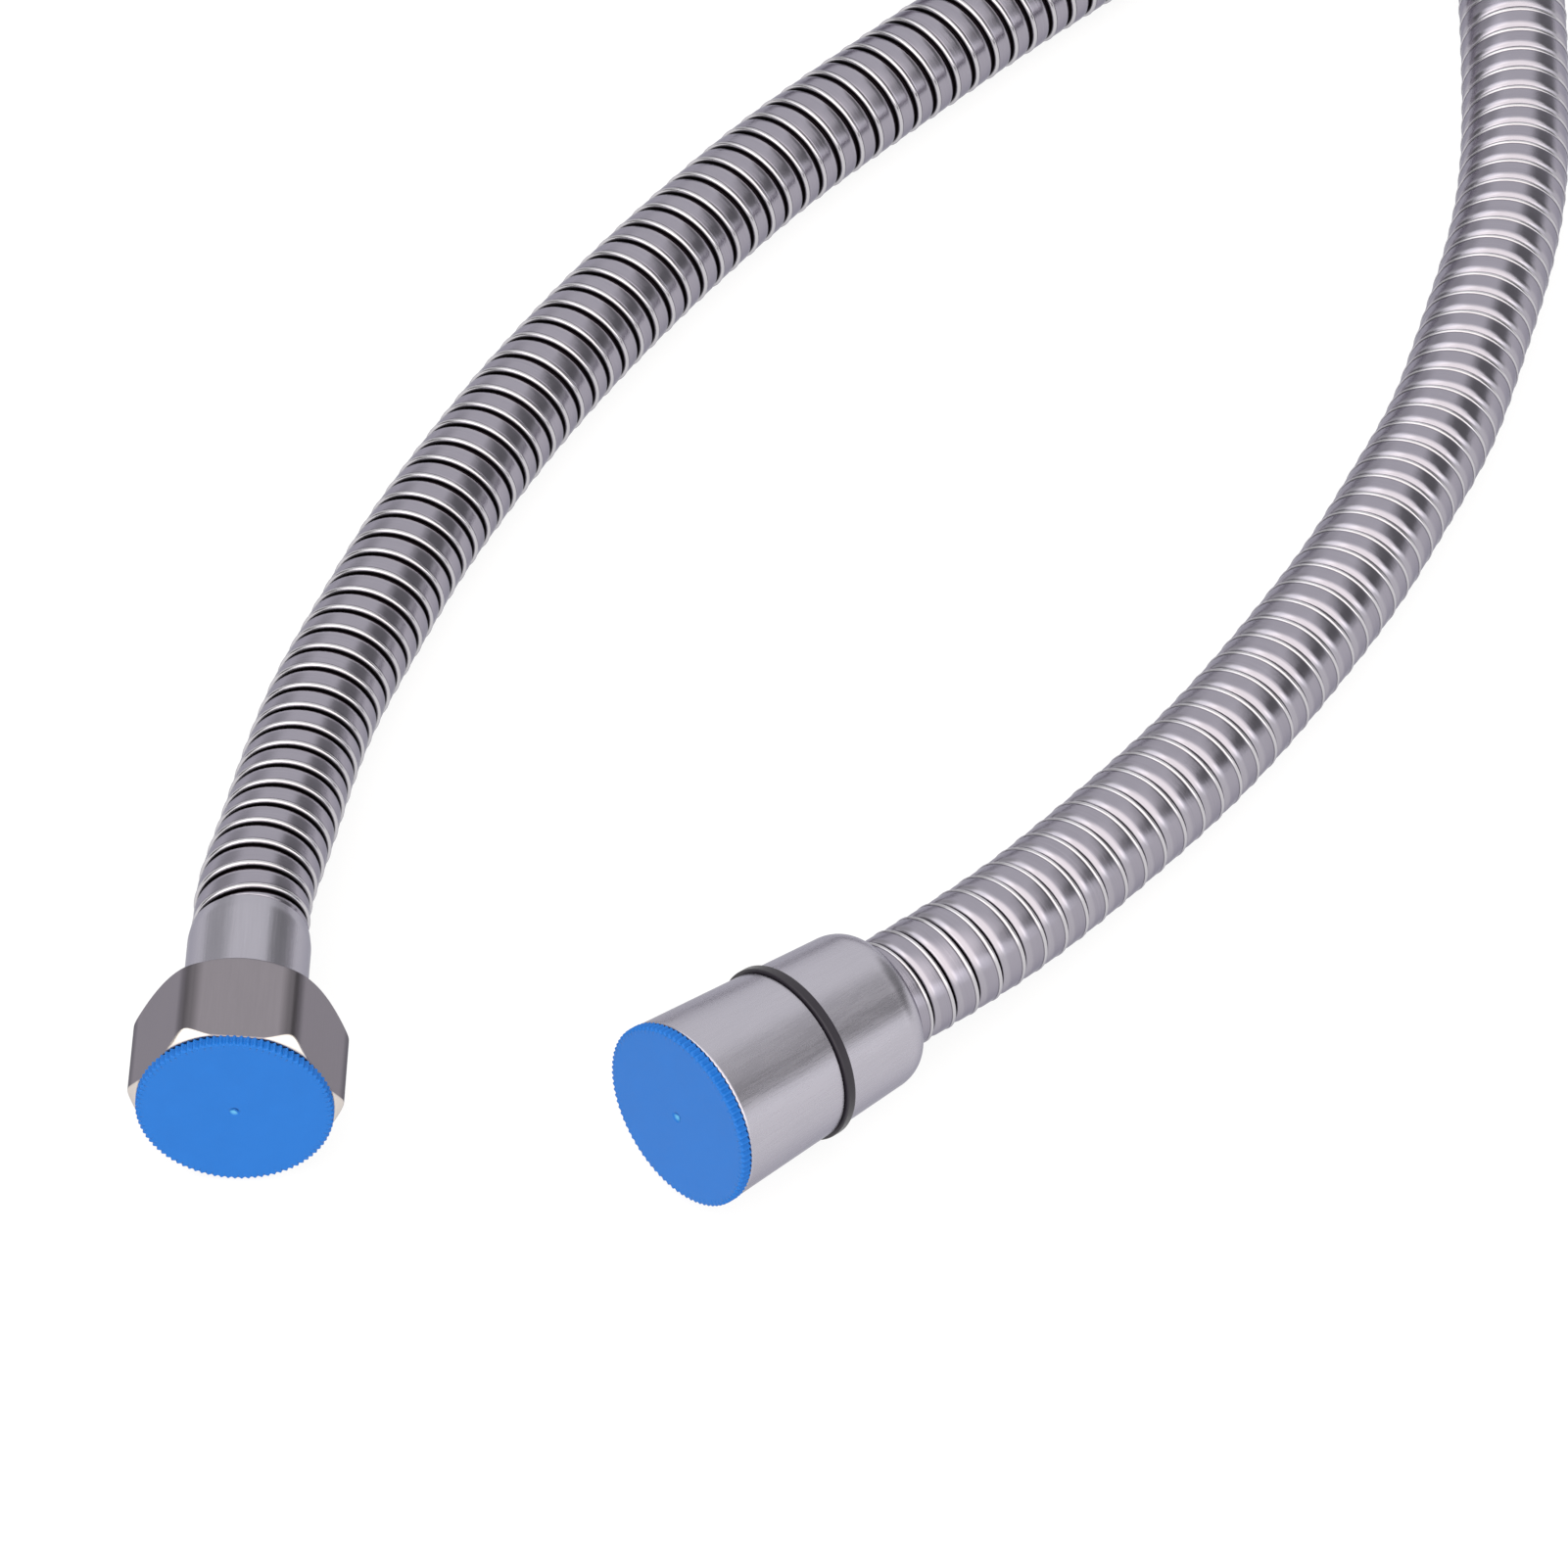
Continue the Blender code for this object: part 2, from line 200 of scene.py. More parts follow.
def paintHose(finish):
    # across the strip (U, 0 to 1 on the band and to 2 in the gap): painted highlight on the lip,
    # painted shade in the crease and over the gap, a brushed band with painted glint specks
    # and a painted highlight on its falling end; streaks run along it (V)
    material, paint = newPaint("hoseSteel")
    strip = paint.node("ShaderNodeUVMap", {"uv_map": "strip"}, {})
    across = paint.parts(strip)[0]
    streaks = paint.noise(paint.stretch(strip, finish["streakGrid"]), 1.0, 4.0, 0.6)
    patches = paint.noise(paint.stretch(strip, finish["patchGrid"]), 1.0, 2.0, 0.5)
    specks = paint.noise(paint.stretch(strip, finish["speckGrid"]), 1.0, 2.0, 0.5)
    # bright specks, painted glints in the lip's highlight colour
    speckGlints = paint.ramp(specks, (0.70, 0.0), (0.76, 1.0))
    half = across * 0.5
    lipEnd, crease, wide = 0.5 * finish["lipEnd"], 0.5 * finish["crease"], 0.5 * finish["creaseWidth"]
    nose, endHighlightStart, gapStart = 0.5 * finish["nose"], 0.5 * finish["endHighlightStart"], 0.5 * finish["gapStart"]
    # painted highlight on the lip
    lip = paint.ramp(half, (lipEnd - 0.01, 1.0), (lipEnd, 0.0))
    # painted shade, near-black: under the lip's nose, in the crease, and over the band's end and the gap
    recessShade = paint.ramp(half, (0.0, 0.8), (nose, 0.0), (crease - wide, 0.0), (crease, finish["creaseShare"]),
                        (crease + wide, 0.0), (gapStart, 0.0), (gapStart + 0.015, 1.0), (1.0, 1.0))
    band = paint.mix(streaks * 0.7 + patches * 0.3, finish["bandDark"], finish["band"])
    # painted highlight on the band's falling end
    endHighlight = paint.ramp(half, (endHighlightStart, 0.0), (endHighlightStart + 0.05, finish["endHighlightShare"]))
    band = paint.mix(endHighlight.atLeast(speckGlints * 0.35), band, finish["lip"])
    colour = paint.mix(recessShade, paint.mix(lip, band, finish["lip"]), finish["recessShade"])
    rough = streaks * finish["streaks"] + patches * 0.06 + finish["roughness"] - 0.08 + recessShade * 0.25
    paint.surface({
        "Base Color": colour, "Metallic": 1.0, "Specular Tint": edgeTint, "Roughness": rough,
        "Normal": paint.bump(streaks + speckGlints * 0.5, 0.10, 0.0002),
    })
    return material


nutFinish = {
    "colour": (0.455, 0.438, 0.490), "roughness": 0.27, "streakDepth": 0.07, "scratch": 0.30,
    # marks for each millimetre
    "lineScale": 3.2, "mottleScale": 0.34, "grainScale": 9.0, "scratchScale": 1.6,
}


def paintSteel(name, finish):
    # a turned and brushed skin: fine lines along the axis, soft mottling, a few thin scratches
    material, paint = newPaint(name)
    place = paint.attribute("place")
    lines = paint.noise(paint.stretch(place, (1.0, 1.0, 0.045)), finish["lineScale"], 4.0, 0.62)
    mottle = paint.noise(paint.stretch(place, (1.0, 1.0, 0.25)), finish["mottleScale"], 3.0, 0.5)
    grain = paint.noise(place, finish["grainScale"], 2.0, 0.5)
    scratch = paint.noise(paint.stretch(place, (0.9, 1.3, 0.10)), finish["scratchScale"], 1.0, 0.4)
    thin = paint.ramp(scratch, (0.496, 0.0), (0.500, 1.0), (0.504, 0.0))
    red, green, blue = finish["colour"]
    light = (red * 1.07, green * 1.07, blue * 1.07, 1.0)
    dark = (red * 0.86, green * 0.86, blue * 0.86, 1.0)
    colour = paint.mix(lines * 0.6 + mottle * 0.4, dark, light)
    colour = paint.mix(thin * finish["scratch"], colour, light)
    if "chamferHighlight" in finish:
        # painted shade: darker where the facets round over to their corners;
        # painted highlight: a light, warm colour on the turned front chamfer
        sideways, upwards, outwards = paint.parts(place)
        away = (sideways * sideways + upwards * upwards) ** 0.5
        corner = paint.ramp(away - finish["cornerStart"], (0.45, 0.0), (0.85, finish["cornerShade"]))
        turned = paint.ramp(away + outwards - finish["bevelStart"], (0.28, 0.0), (0.42, 1.0))
        colour = paint.mix(turned, paint.mix(corner, colour, (0.0, 0.0, 0.0, 1.0)), finish["chamferHighlight"])
    paint.surface({
        "Base Color": colour, "Metallic": 1.0, "Specular Tint": edgeTint,
        "Roughness": lines * 0.12 + mottle * 0.10 + grain * 0.05 + finish["roughness"] - 0.135,
        "Normal": paint.bump(lines + grain * 0.25, finish["streakDepth"], 0.0002),
    })
    return material


capFinish = {
    "colour": (0.009, 0.133, 0.475, 1.0), "deep": (0.007, 0.120, 0.435, 1.0), "roughness": 0.40,
    # the gate pit's painted shade on its upper side and painted highlight on its lower side
    "pitShade": (0.004, 0.045, 0.20, 1.0), "glint": (0.10, 0.38, 0.62, 1.0),
}


def paintCap(finish):
    # moulded plastic: fine grain, slow clouding, and a gate pit with a painted highlight on its lower side
    # and painted shade on its upper side
    material, paint = newPaint("capPlastic")
    place = paint.attribute("place")
    cloud = paint.noise(place, 0.35, 3.0, 0.5)
    grain = paint.noise(place, 14.0, 3.0, 0.6)
    sideways, upwards, outwards = paint.parts(place)
    away = (sideways * sideways + upwards * upwards) ** 0.5
    pit = paint.ramp(away, (0.40, 1.0), (0.65, 0.0))
    slant = upwards * 0.7 + sideways * 0.3 + 0.5
    # painted highlight on the pit's lower side, painted shade on its upper side
    lower = paint.ramp(slant, (0.30, 1.0), (0.40, 0.0))
    pitShadedSide = paint.ramp(slant, (0.52, 0.0), (0.66, 1.0))
    colour = paint.mix(cloud, finish["deep"], finish["colour"])
    colour = paint.mix(pit * lower, paint.mix(pit * pitShadedSide, colour, finish["pitShade"]), finish["glint"])
    paint.surface({
        "Base Color": colour, "Metallic": 0.0,
        "Roughness": grain * 0.10 + cloud * 0.06 + finish["roughness"] - 0.08,
        "Specular IOR Level": 0.22, "Normal": paint.bump(grain, 0.12, 0.0001),
    })
    return material


def paintSoft(name, colour, roughness):
    # moulded rubber or dark plastic: matt, with a faint grain
    material, paint = newPaint(name)
    place = paint.attribute("place")
    grain = paint.noise(place, 6.0, 4.0, 0.6)
    shade = tuple(value * 0.8 for value in colour[:3]) + (1.0,)
    paint.surface({
        "Base Color": paint.mix(grain, shade, colour), "Metallic": 0.0,
        "Roughness": grain * 0.14 + roughness - 0.07, "Specular IOR Level": 0.30,
        "Normal": paint.bump(grain, 0.15, 0.0002),
    })
    return material


brassFinish = {"colour": (0.72, 0.52, 0.24, 1.0), "stain": (0.56, 0.38, 0.15, 1.0), "roughness": 0.20}


def paintBrass(finish):
    # turned brass: fine rings round the axis come from stretching the noise across it
    material, paint = newPaint("tailBrass")
    place = paint.attribute("place")
    rings = paint.noise(paint.stretch(place, (0.05, 0.05, 1.0)), 8.0, 3.0, 0.6)
    stain = paint.noise(place, 0.6, 3.0, 0.5)
    paint.surface({
        "Base Color": paint.mix(stain, finish["stain"], finish["colour"]), "Metallic": 1.0,
        "Roughness": rings * 0.14 + stain * 0.10 + finish["roughness"],
        "Normal": paint.bump(rings, 0.15, 0.0001),
    })
    return material


finishes = {
    "hose": paintHose(hoseFinish),
    "nut": paintSteel("nutSteel", nutFinish),
    "hexNut": paintSteel("hexNutSteel", {
        **nutFinish, "colour": (0.262, 0.240, 0.262), "roughness": 0.34,
        # painted shade at the corners, and a painted highlight colour on the front chamfer
        "cornerStart": 12.5, "cornerShade": 0.45, "bevelStart": 12.0, "chamferHighlight": (0.66, 0.61, 0.57, 1.0),
    }),
    "ferrule": paintSteel("ferruleSteel", {
        **nutFinish, "colour": (0.412, 0.398, 0.448), "roughness": 0.24, "scratch": 0.12,
    }),
    "cap": paintCap(capFinish),
    "band": paintSoft("bandRubber", (0.020, 0.017, 0.024, 1.0), 0.34),
    "rubber": paintSoft("linerRubber", (0.035, 0.035, 0.038, 1.0), 0.60),
    "seal": paintSoft("sealRubber", (0.022, 0.022, 0.024, 1.0), 0.55),
    "brass": paintBrass(brassFinish),
}
print("finishes mixed")

# Meshes


def unit(vectors):
    # each vector divided by its own length
    vectors = np.asarray(vectors, float)
    return vectors / np.linalg.norm(vectors, axis=-1, keepdims=True)


def smoothStep(values, low, high):
    # 3t^2 - 2t^3 of the clipped share t of the way from low to high
    share = np.clip((np.asarray(values, float) - low) / (high - low), 0.0, 1.0)
    return share * share * (3.0 - 2.0 * share)


def addPiece(name, points, quads, material, place=None, stripUv=None, closePoles=False):
    # puts whole arrays into one smooth-shaded mesh at the origin
    mesh = bpy.data.meshes.new(name)
    mesh.vertices.add(len(points))
    mesh.vertices.foreach_set("co", np.ascontiguousarray(points, np.float32).ravel())
    mesh.loops.add(quads.size)
    mesh.loops.foreach_set("vertex_index", np.ascontiguousarray(quads, np.int32).ravel())
    mesh.polygons.add(len(quads))
    mesh.polygons.foreach_set("loop_start", np.arange(0, quads.size, 4, dtype=np.int32))
    mesh.update(calc_edges=True)
    if place is not None:
        layer = mesh.attributes.new("place", "FLOAT_VECTOR", "POINT")
        layer.data.foreach_set("vector", np.ascontiguousarray(place, np.float32).ravel())
    if stripUv is not None:
        layer = mesh.uv_layers.new(name="strip")
        layer.data.foreach_set("uv", np.ascontiguousarray(stripUv, np.float32).ravel())
    if closePoles:
        work = bmesh.new()
        work.from_mesh(mesh)
        bmesh.ops.remove_doubles(work, verts=work.verts, dist=1e-7)
        work.to_mesh(mesh)
        work.free()
    mesh.validate()
    mesh.polygons.foreach_set("use_smooth", np.ones(len(mesh.polygons), bool))
    mesh.materials.append(material)
    piece = bpy.data.objects.new(name, mesh)
    bpy.context.scene.collection.objects.link(piece)
    return piece


# Where the fittings lie


def fittingFrame(jointName):
    # the hinge's own place and axis, with x level and y as near up as the axis lets it
    z = unit(joints[jointName]["axis"])
    x = unit([-z[1], z[0], 0.0])
    y = np.cross(z, x)
    return np.array(joints[jointName]["pos_m"], float), np.array([x, y, z])


hexFrame = fittingFrame("hex_nut_turn")
roundFrame = fittingFrame("round_nut_turn")


def inWorld(fitting, places):
    # millimetres on the fitting's axes to metres in the row frame
    origin, axes = fitting
    return origin + np.asarray(places, float) * milli @ axes


# The hose's route

hoseValues = {
    "diameter": 0.015, "exit": -29.5, "hidden": 5.0, "straight": 5.0,
    "ringCentre": (0.0655, 0.3462), "ringRadius": 0.075, "ringFrom": -14.0, "ringTo": 630.0, "ringStep": 28.0,
    "firstRise": (250.0, 325.0), "lastRise": (585.0, 640.0),
    "floorHeight": 0.0075, "upperHeight": 0.0228, "leaveHeight": 0.0256,
    "leadIn": (0.1305, 0.3003, 0.0075),
}
hexRoute = [
    (-0.0343, 0.0361, 0.0107), (-0.0315, 0.0510, 0.0092),
    (-0.0280, 0.0655, 0.0082), (-0.0230, 0.0795, 0.0077),
    (-0.0175, 0.0935, 0.0075), (-0.0110, 0.1070, 0.0075), (-0.0040, 0.1200, 0.0075), (0.0040, 0.1330, 0.0075),
    (0.0125, 0.1455, 0.0075), (0.0215, 0.1575, 0.0075), (0.0310, 0.1690, 0.0075), (0.0415, 0.1800, 0.0075),
    (0.0520, 0.1905, 0.0075), (0.0635, 0.2017, 0.0075), (0.0785, 0.2156, 0.0075), (0.0893, 0.2275, 0.0075),
    (0.0992, 0.2402, 0.0075), (0.1082, 0.2536, 0.0075), (0.1163, 0.2675, 0.0075), (0.1202, 0.2753, 0.0075),
]
roundRoute = [
    (0.0525, 0.0185, 0.0099), (0.0630, 0.0290, 0.0088), (0.0730, 0.0405, 0.0081), (0.0825, 0.0520, 0.0077),
    (0.0915, 0.0645, 0.0075), (0.0995, 0.0770, 0.0075), (0.1070, 0.0900, 0.0075), (0.1135, 0.1035, 0.0075),
    (0.1195, 0.1170, 0.0075), (0.1240, 0.1315, 0.0075), (0.1280, 0.1460, 0.0075), (0.1310, 0.1605, 0.0076),
    (0.1325, 0.1755, 0.0080), (0.1330, 0.1905, 0.0093), (0.1330, 0.2030, 0.0109), (0.1320, 0.2154, 0.0130),
    (0.1267, 0.2322, 0.0172), (0.1172, 0.2471, 0.0214), (0.1089, 0.2554, 0.0235), (0.0987, 0.2627, 0.0247),
]


def ringPoints(values):
    # a circle of two turns: on the floor, up on to the first turn, then up to where it leaves
    count = int(round((values["ringTo"] - values["ringFrom"]) / values["ringStep"])) + 1
    turn = np.linspace(values["ringFrom"], values["ringTo"], count)
    angle = np.radians(turn)
    rise = values["upperHeight"] - values["floorHeight"]
    last = values["leaveHeight"] - values["upperHeight"]
    height = values["floorHeight"] + rise * smoothStep(turn, *values["firstRise"])
    height = height + last * smoothStep(turn, *values["lastRise"])
    across = values["ringCentre"][0] + values["ringRadius"] * np.cos(angle)
    along = values["ringCentre"][1] + values["ringRadius"] * np.sin(angle)
    return np.column_stack([across, along, height])


def clampedSpline(points, first, last, step):
    # the cubic spline through the points on their chord lengths, with both end directions given;
    # its second slopes solve one linear system, and it comes back at even steps of its own length
    knots = np.concatenate([[0.0], np.cumsum(np.linalg.norm(np.diff(points, axis=0), axis=1))])
    gap = np.diff(knots)
    slope = np.diff(points, axis=0) / gap[:, None]
    size = len(points)
    matrix = np.zeros((size, size))
    matrix[np.arange(size - 1), np.arange(1, size)] = gap
    matrix[np.arange(1, size), np.arange(size - 1)] = gap
    matrix[np.arange(size), np.arange(size)] = 2.0 * (np.append(gap, 0.0) + np.append(0.0, gap))
    right = 6.0 * (np.vstack([slope, [last]]) - np.vstack([[first], slope]))
    second = np.linalg.solve(matrix, right)
    sample = np.linspace(0.0, knots[-1], int(knots[-1] / (0.5 * step)))
    span = np.clip(np.searchsorted(knots, sample, side="right") - 1, 0, size - 2)
    width = gap[span][:, None]
    after = (sample - knots[span])[:, None] / width
    before = 1.0 - after
    curve = before * points[span] + after * points[span + 1]
    bend = (before ** 3 - before) * second[span] + (after ** 3 - after) * second[span + 1]
    curve = curve + bend * width ** 2 / 6.0
    run = np.concatenate([[0.0], np.cumsum(np.linalg.norm(np.diff(curve, axis=0), axis=1))])
    even = np.linspace(0.0, run[-1], int(run[-1] / step) + 1)
    return even, np.column_stack([np.interp(even, run, curve[:, axis]) for axis in range(3)])


def hosePath(values):
    inside = values["exit"] + values["hidden"]
    outside = values["exit"] - values["straight"]
    start = inWorld(hexFrame, [(0, 0, inside), (0, 0, values["exit"]), (0, 0, outside)])
    end = inWorld(roundFrame, [(0, 0, outside), (0, 0, values["exit"]), (0, 0, inside)])
    points = np.vstack([start, hexRoute, [values["leadIn"]], ringPoints(values), roundRoute[::-1], end])
    length, centre = clampedSpline(points, -hexFrame[1][2], roundFrame[1][2], 0.0005)
    along = unit(np.gradient(centre, axis=0))
    side = unit(np.cross([0.0, 0.0, 1.0], along))
    up = np.cross(along, side)
    return length - values["hidden"] * milli, centre, side, up


hoseLine = hosePath(hoseValues)
hoseLength = hoseLine[0][-1] - hoseValues["hidden"] * milli
print(f"hose route laid, {hoseLength:.3f} m between its two ferrules")

# The wound strip

stripValues = {
    "hand": 1.0, "turnShift": 0.659, "wander": 0.012,
    # pitch in millimetres and the gap's share of it, at these lengths along the hose in metres
    "pitchPlaces": (0.0, 0.066, 0.078, 0.128, 0.140, 0.30, 1.20, 1.344, 1.38, 1.416, 1.452, 1.49, 1.53),
    "pitches": (3.885, 3.848, 3.731, 3.778, 3.838, 3.855, 3.841, 3.724, 3.857, 3.709, 3.838, 3.943, 3.732),
    "gapPlaces": (0.0, 0.30, 1.20, 1.508, 1.524, 1.53),
    "gapShares": (0.040, 0.040, 0.015, 0.012, 0.055, 0.055),
    # both ends narrow into their ferrules, over this much of the length
    "tuckedRadius": 6.55, "tuckedOver": (-0.0008, 0.0002), "windingRadius": 7.2,
    "hexRun": 0.232, "roundRun": 0.245, "aroundRun": 50, "aroundCoil": 40,
}
# the strip's outside over one pitch: (share of the band's width, radius), then the same for the gap
bandShape = [
    (0.000, 6.90), (0.003, 7.12), (0.010, 7.29), (0.024, 7.40), (0.048, 7.472), (0.078, 7.499),
    (0.110, 7.497), (0.140, 7.473), (0.162, 7.432), (0.176, 7.385), (0.184, 7.362), (0.194, 7.368),
    (0.214, 7.386), (0.250, 7.390), (0.640, 7.375), (0.700, 7.355), (0.760, 7.305), (0.815, 7.225),
    (0.865, 7.115), (0.905, 6.985), (0.935, 6.84), (0.945, 6.60),
]
gapShape = [
    (0.10, 6.50), (0.90, 6.50), (1.30, 6.55), (1.34, 6.72), (1.25, 6.84), (1.10, 6.88),
]


def turnsAlong(length, values):
    # the running sum of length over pitch, with a slow wander that makes single turns uneven
    pitch = np.interp(length, values["pitchPlaces"], values["pitches"]) * milli
    turns = np.cumsum(np.append(0.0, np.diff(length) / (0.5 * (pitch[1:] + pitch[:-1]))))
    uneven = np.sin(turns * 2.399) + np.sin(turns * 1.117 + 1.3) + np.sin(turns * 0.731 + 0.4)
    return turns + values["wander"] * uneven + values["turnShift"]


def stripHose(name, line, values, fromTurn, toTurn, around, shape):
    # row i stands at angle 2 pi i / around; its column with share u sits where the turn count is
    # i / around + u, at centre + radius (side cos a + up sin a); one turn's last column is the
    # next turn's first
    length, centre, side, up = line
    turns = turnsAlong(length, values)
    rows = np.arange(fromTurn * around, toTurn * around + 1)
    band, gap = shape
    share = np.array([u for u, r in band + gap] + [0.0])
    radius = np.array([r for u, r in band + gap] + [band[0][1]])
    isGap = np.arange(len(share)) >= len(band)
    place = np.interp(rows / around, turns, length)
    open_ = np.interp(place, values["gapPlaces"], values["gapShares"])[:, None]
    across = np.where(isGap, 1.0 - open_ + open_ * share, (1.0 - open_) * share)
    across[:, -1] = 1.0
    at = np.interp((rows / around)[:, None] + across, turns, length)
    fromEnd = np.minimum(at, length[-1] - hoseValues["hidden"] * milli - at)
    tucked = smoothStep(fromEnd, *values["tuckedOver"])
    depth = values["tuckedRadius"] + (radius - values["tuckedRadius"]) * tucked
    angle = (values["hand"] * 2.0 * np.pi * rows / around)[:, None, None]
    mid, level, rise = (np.stack([np.interp(at, length, grid[:, axis]) for axis in range(3)], axis=-1)
                        for grid in (centre, side, up))
    points = mid + depth[..., None] * milli * (level * np.cos(angle) + rise * np.sin(angle))
    columns = len(share)
    index = np.arange(len(rows) * columns).reshape(len(rows), columns)
    index[:-around, -1] = index[around:, 0]
    quads = np.stack([index[:-1, :-1], index[1:, :-1], index[1:, 1:], index[:-1, 1:]], axis=-1).reshape(-1, 4)
    reach = np.where(isGap, 1.0 + 0.7 * share, share)
    reach[-1] = 2.0
    wound = rows / around * 2.0 * np.pi * values["windingRadius"] * milli
    uv = np.empty((len(rows) - 1, columns - 1, 4, 2))
    uv[..., 0] = np.stack([reach[:-1], reach[:-1], reach[1:], reach[1:]], axis=-1)
    uv[..., 1] = np.stack([wound[:-1], wound[1:], wound[1:], wound[:-1]], axis=-1)[:, None, :]
    uv = uv.reshape(-1, 4, 2)
    if values["hand"] < 0:
        quads = quads[:, ::-1]
        uv = uv[:, ::-1]
    used, inverse = np.unique(quads, return_inverse=True)
    piece = addPiece(name, points.reshape(-1, 3)[used], inverse.reshape(-1, 4), finishes["hose"], stripUv=uv)
    inPiece = (length >= at.min()) & (length <= at.max())
    path = centre[inPiece][::4]
    path = np.vstack([path, centre[inPiece][-1:]])
    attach(piece, "root")
    return piece


def windHose(line, values):
    # cut between whole turns: two seen runs with every fold of the strip, and a plainer middle
    turns = turnsAlong(line[0], values)
    hexCut = int(np.ceil(np.interp(values["hexRun"], line[0], turns)))
    roundCut = int(np.floor(np.interp(line[0][-1] - values["roundRun"], line[0], turns)))
    middle = (hexCut + roundCut) // 2
    first = int(np.ceil(turns[0]))
    last = int(np.floor(turns[-1]))
    full = (bandShape, gapShape)
    plain = ([bandShape[i] for i in (0, 3, 6, 10, 13, 14, 16, 19, 21)], [gapShape[i] for i in (0, 2, 4)])
    runAround, coilAround = values["aroundRun"], values["aroundCoil"]
    hexRun = stripHose("hoseRunHexEnd", line, values, first, hexCut, runAround, full)
    roundRun = stripHose("hoseRunRoundEnd", line, values, roundCut, last - 1, runAround, full)
    coilLower = stripHose("hoseCoilLower", line, values, hexCut, middle, coilAround, plain)
    coilUpper = stripHose("hoseCoilUpper", line, values, middle, roundCut, coilAround, plain)
    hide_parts("hose_run_hex_end")
    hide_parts("hose_run_round_end")
    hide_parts("hose_coil")
    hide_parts("hose_coil")
    return hexRun, roundRun, coilLower, coilUpper


hosePieces = windHose(hoseLine, stripValues)
print("strip wound, " + ", ".join(f"{piece.name} {2 * len(piece.data.polygons)}" for piece in hosePieces))

# Turned shapes


def roundedOutline(corners, steps=5):
    # corners are (r, z, size): each turns into a short curve that starts and ends that far away,
    # (1-t)^2 A + 2t(1-t) corner + t^2 B, with a guard point just outside it on both sides
    found = []
    count = len(corners)
    share = np.linspace(0.0, 1.0, steps)[:, None]
    for number, (r, z, size) in enumerate(corners):
        here = np.array([r, z])
        if size <= 0.0:
            found.append(here[None, :])
            continue
        before = np.array(corners[(number - 1) % count][:2]) - here
        after = np.array(corners[(number + 1) % count][:2]) - here
        toBefore, toAfter = np.linalg.norm(before), np.linalg.norm(after)
        entry = here + before / toBefore * size
        leave = here + after / toAfter * size
        curve = (1 - share) ** 2 * entry + 2 * share * (1 - share) * here + share ** 2 * leave
        guard = 0.35 * size
        guardIn = entry + before / toBefore * min(guard, 0.3 * max(toBefore - size, 0))
        guardOut = leave + after / toAfter * min(guard, 0.3 * max(toAfter - size, 0))
        found.append(np.vstack([guardIn[None, :], curve, guardOut[None, :]]))
    return np.vstack(found)


def fullTurn(segments):
    # even angles once round, beginning at the underside
    return -0.5 * np.pi + np.arange(segments) * 2.0 * np.pi / segments


def spin(name, fitting, angles, radii, heights, material, ringClosed=True):
    # point (i, j) = (r cos a_i, r sin a_i, z), r and z given for every angle and outline point;
    # the outline runs up the outer wall, so that the faces point outwards
    radii, heights = np.broadcast_arrays(radii, heights)
    if radii.ndim == 1:
        radii = np.broadcast_to(radii, (len(angles), len(radii)))
        heights = np.broadcast_to(heights, radii.shape)
    turn = angles[:, None]
    places = np.stack([radii * np.cos(turn), radii * np.sin(turn), heights], axis=-1)
    rows, columns = radii.shape
    index = np.arange(rows * columns).reshape(rows, columns)
    nextRow = np.roll(index, -1, axis=0)
    if ringClosed:
        here, there = index, nextRow
        hereNext, thereNext = np.roll(index, -1, axis=1), np.roll(nextRow, -1, axis=1)
    else:
        here, there = index[:, :-1], nextRow[:, :-1]
        hereNext, thereNext = index[:, 1:], nextRow[:, 1:]
    quads = np.stack([here, there, thereNext, hereNext], axis=-1).reshape(-1, 4)
    local = places.reshape(-1, 3)
    return addPiece(name, inWorld(fitting, local), quads, material, place=local, closePoles=not ringClosed)


def finishPiece(piece, body, node):
    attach(piece, body)
    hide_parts(node)
    return piece


# Nuts

threadValues = {
    "major": 10.4775, "minor": 9.3155, "pitch": 1.814, "depth": 9.0, "mouthChamfer": 0.5, "seat": 12.4,
    "hole": 8.25, "holeFlare": 0.4,
}


def threadBlock(values, angles, perTurn=8):
    # r = major - (major - minor) (1 - crest) fade: crest is 1/2 + cos(2 pi z / pitch - angle) / 2,
    # steepened and clipped, and fade runs the ridges out at both ends
    top, bottom = -values["mouthChamfer"] - 0.15, -values["depth"] + 0.15
    count = int((top - bottom) / values["pitch"] * perTurn)
    height = np.linspace(top, bottom, count)
    wave = 0.5 + 0.5 * np.cos(2.0 * np.pi * height[None, :] / values["pitch"] - angles[:, None])
    crest = np.clip(1.35 * wave - 0.175, 0.0, 1.0)
    fade = smoothStep(-height, 0.6, 1.5) * smoothStep(height, bottom, bottom + 0.9)
    depth = (values["major"] - values["minor"] - 0.08) * (1.0 - crest) * fade[None, :]
    return values["major"] - depth, np.broadcast_to(height, depth.shape)


def boreBelowThread(values, rear):
    # the runout cone, the seat's wall, the web and the swivel hole down to the rear
    major, minor, hole, flare = values["major"], values["minor"], values["hole"], values["holeFlare"]
    return [
        (major, -values["depth"], 0.0), (minor, -values["depth"] - (major - minor), 0.12),
        (minor, -values["seat"], 0.25), (hole, -values["seat"], 0.12), (hole, rear + flare, 0.10),
        (hole + flare, rear, 0.10),
    ]


hexValues = {
    "acrossFlats": 24.0, "length": 14.6, "roll": -3.5,
    "rearRing": 10.95, "frontRing": 12.48, "widestRing": 14.3,
    "cornerSoft": 0.032, "edgeSoft": 0.045, "frontEdge": 0.22, "perSide": 60,
}


